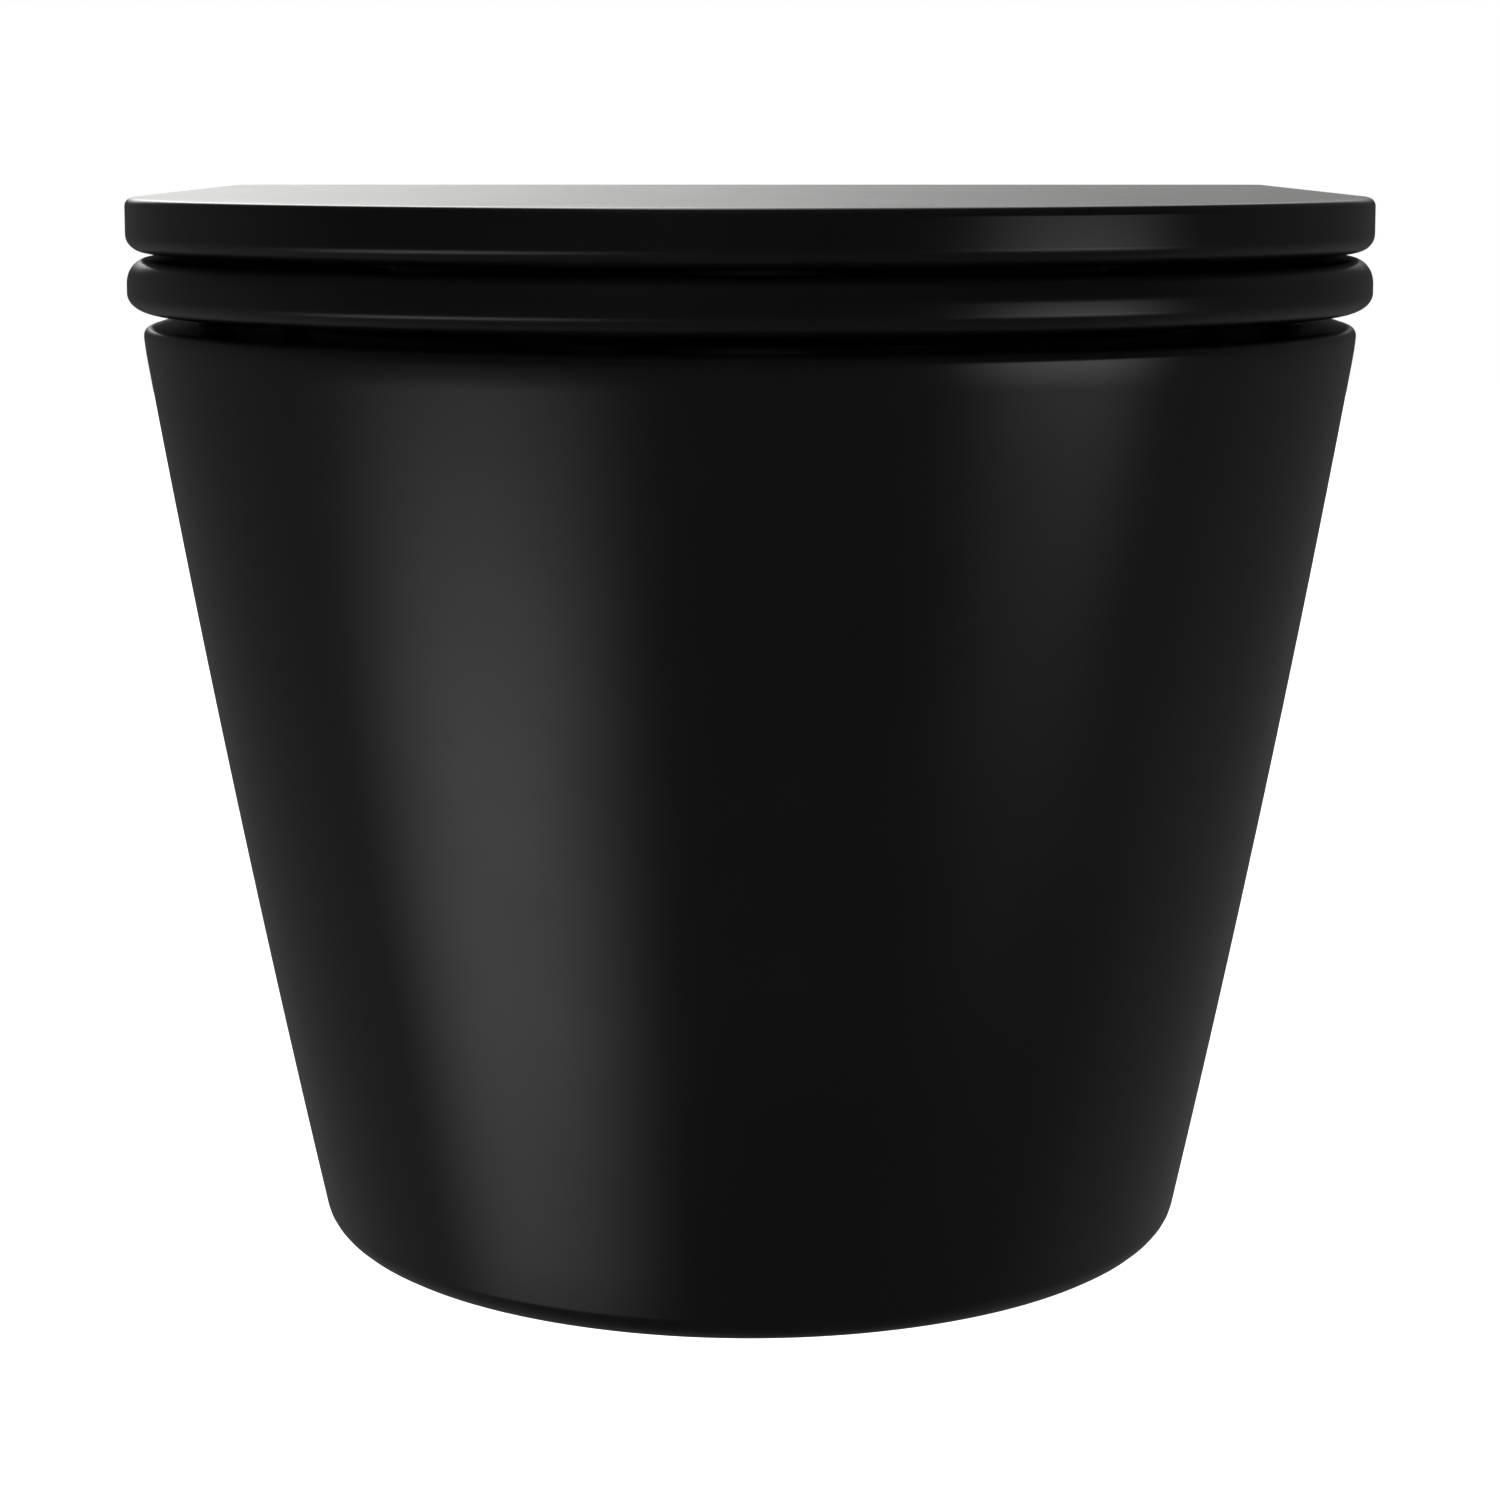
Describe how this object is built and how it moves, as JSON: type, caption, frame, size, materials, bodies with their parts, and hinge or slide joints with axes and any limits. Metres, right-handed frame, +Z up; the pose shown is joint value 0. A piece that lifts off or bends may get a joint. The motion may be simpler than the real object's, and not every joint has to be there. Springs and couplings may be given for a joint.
{
  "type": "wall hung toilet",
  "caption": "Wall-hung toilet pan with a skirted bowl and a soft-close, quick-release seat and lid.",
  "frame": {"origin": "on the wall plane, midway between the two wall bolts", "axes": "+X to the right seen from the front, +Y into the wall, +Z up; the front points along -Y"},
  "size_m": [0.36, 0.52, 0.3048],
  "materials": {
    "glazed_ceramic_black": "satin black glaze",
    "duroplast_black": "satin",
    "cap_black": "satin",
    "chrome": "polished",
    "zinc_steel": "zinc plated",
    "spring_steel": "drawn wire",
    "housing_black": "satin",
    "damper_grey": "satin",
    "grey_plastic": "satin",
    "white_plastic": "satin",
    "rubber_grey": "matt",
    "button_grey": "satin"
  },
  "bodies": {
    "pan": {"pan": "glazed_ceramic_black", "flush_distributor": "grey_plastic", "wall_disc_left": "white_plastic", "fixing_barrel_left": "zinc_steel", "fixing_nut_left": "zinc_steel", "fixing_sleeve_left": "grey_plastic", "locking_screw_left": "zinc_steel", "side_cap_left": "cap_black", "post_rosette_left": "chrome", "hinge_post_left": "chrome", "expansion_sleeve_left": "rubber_grey", "cone_nut_left": "grey_plastic", "hinge_stud_left": "zinc_steel", "wall_disc_right": "white_plastic", "fixing_barrel_right": "zinc_steel", "fixing_nut_right": "zinc_steel", "fixing_sleeve_right": "grey_plastic", "locking_screw_right": "zinc_steel", "side_cap_right": "cap_black", "post_rosette_right": "chrome", "hinge_post_right": "chrome", "expansion_sleeve_right": "rubber_grey", "cone_nut_right": "grey_plastic", "hinge_stud_right": "zinc_steel"},
    "hinge_block": {"hinge_housing_left": "housing_black", "button_spring_left": "spring_steel", "hinge_housing_right": "housing_black", "button_spring_right": "spring_steel", "seat_damper_left": "damper_grey", "lid_damper_right": "damper_grey", "seat_pivot_pin_right": "zinc_steel", "lid_pivot_pin_left": "zinc_steel"},
    "seat": {"seat_ring": "duroplast_black", "seat_buffer_front_left": "rubber_grey", "seat_buffer_rear_left": "rubber_grey", "seat_buffer_front_right": "rubber_grey", "seat_buffer_rear_right": "rubber_grey"},
    "lid": {"lid": "duroplast_black", "lid_buffer_front_left": "rubber_grey", "lid_buffer_rear_left": "rubber_grey", "lid_buffer_front_right": "rubber_grey", "lid_buffer_rear_right": "rubber_grey"},
    "button_left": {"release_button_left": "button_grey"},
    "button_right": {"release_button_right": "button_grey"}
  },
  "joints": [
    {"name": "seat_take_off", "type": "slide", "parent": "pan", "child": "hinge_block", "axis": [0, 0, 1], "range_m": [0, 0.03]},
    {"name": "seat_hinge", "type": "hinge", "parent": "hinge_block", "child": "seat", "pos_m": [0, -0.104, 0.098], "axis": [-1, 0, 0], "range_deg": [0, 95]},
    {"name": "lid_hinge", "type": "hinge", "parent": "seat", "child": "lid", "pos_m": [0, -0.104, 0.098], "axis": [1, 0, 0], "range_deg": [-100, 0]},
    {"name": "release_button_left", "type": "slide", "parent": "hinge_block", "child": "button_left", "axis": [0, 1, 0], "range_m": [0, 0.002], "stiffness_N_per_m": 300, "springref_m": -0.002, "deforming": ["button_spring_left"]},
    {"name": "release_button_right", "type": "slide", "parent": "hinge_block", "child": "button_right", "axis": [0, 1, 0], "range_m": [0, 0.002], "stiffness_N_per_m": 300, "springref_m": -0.002, "deforming": ["button_spring_right"]}
  ]
}
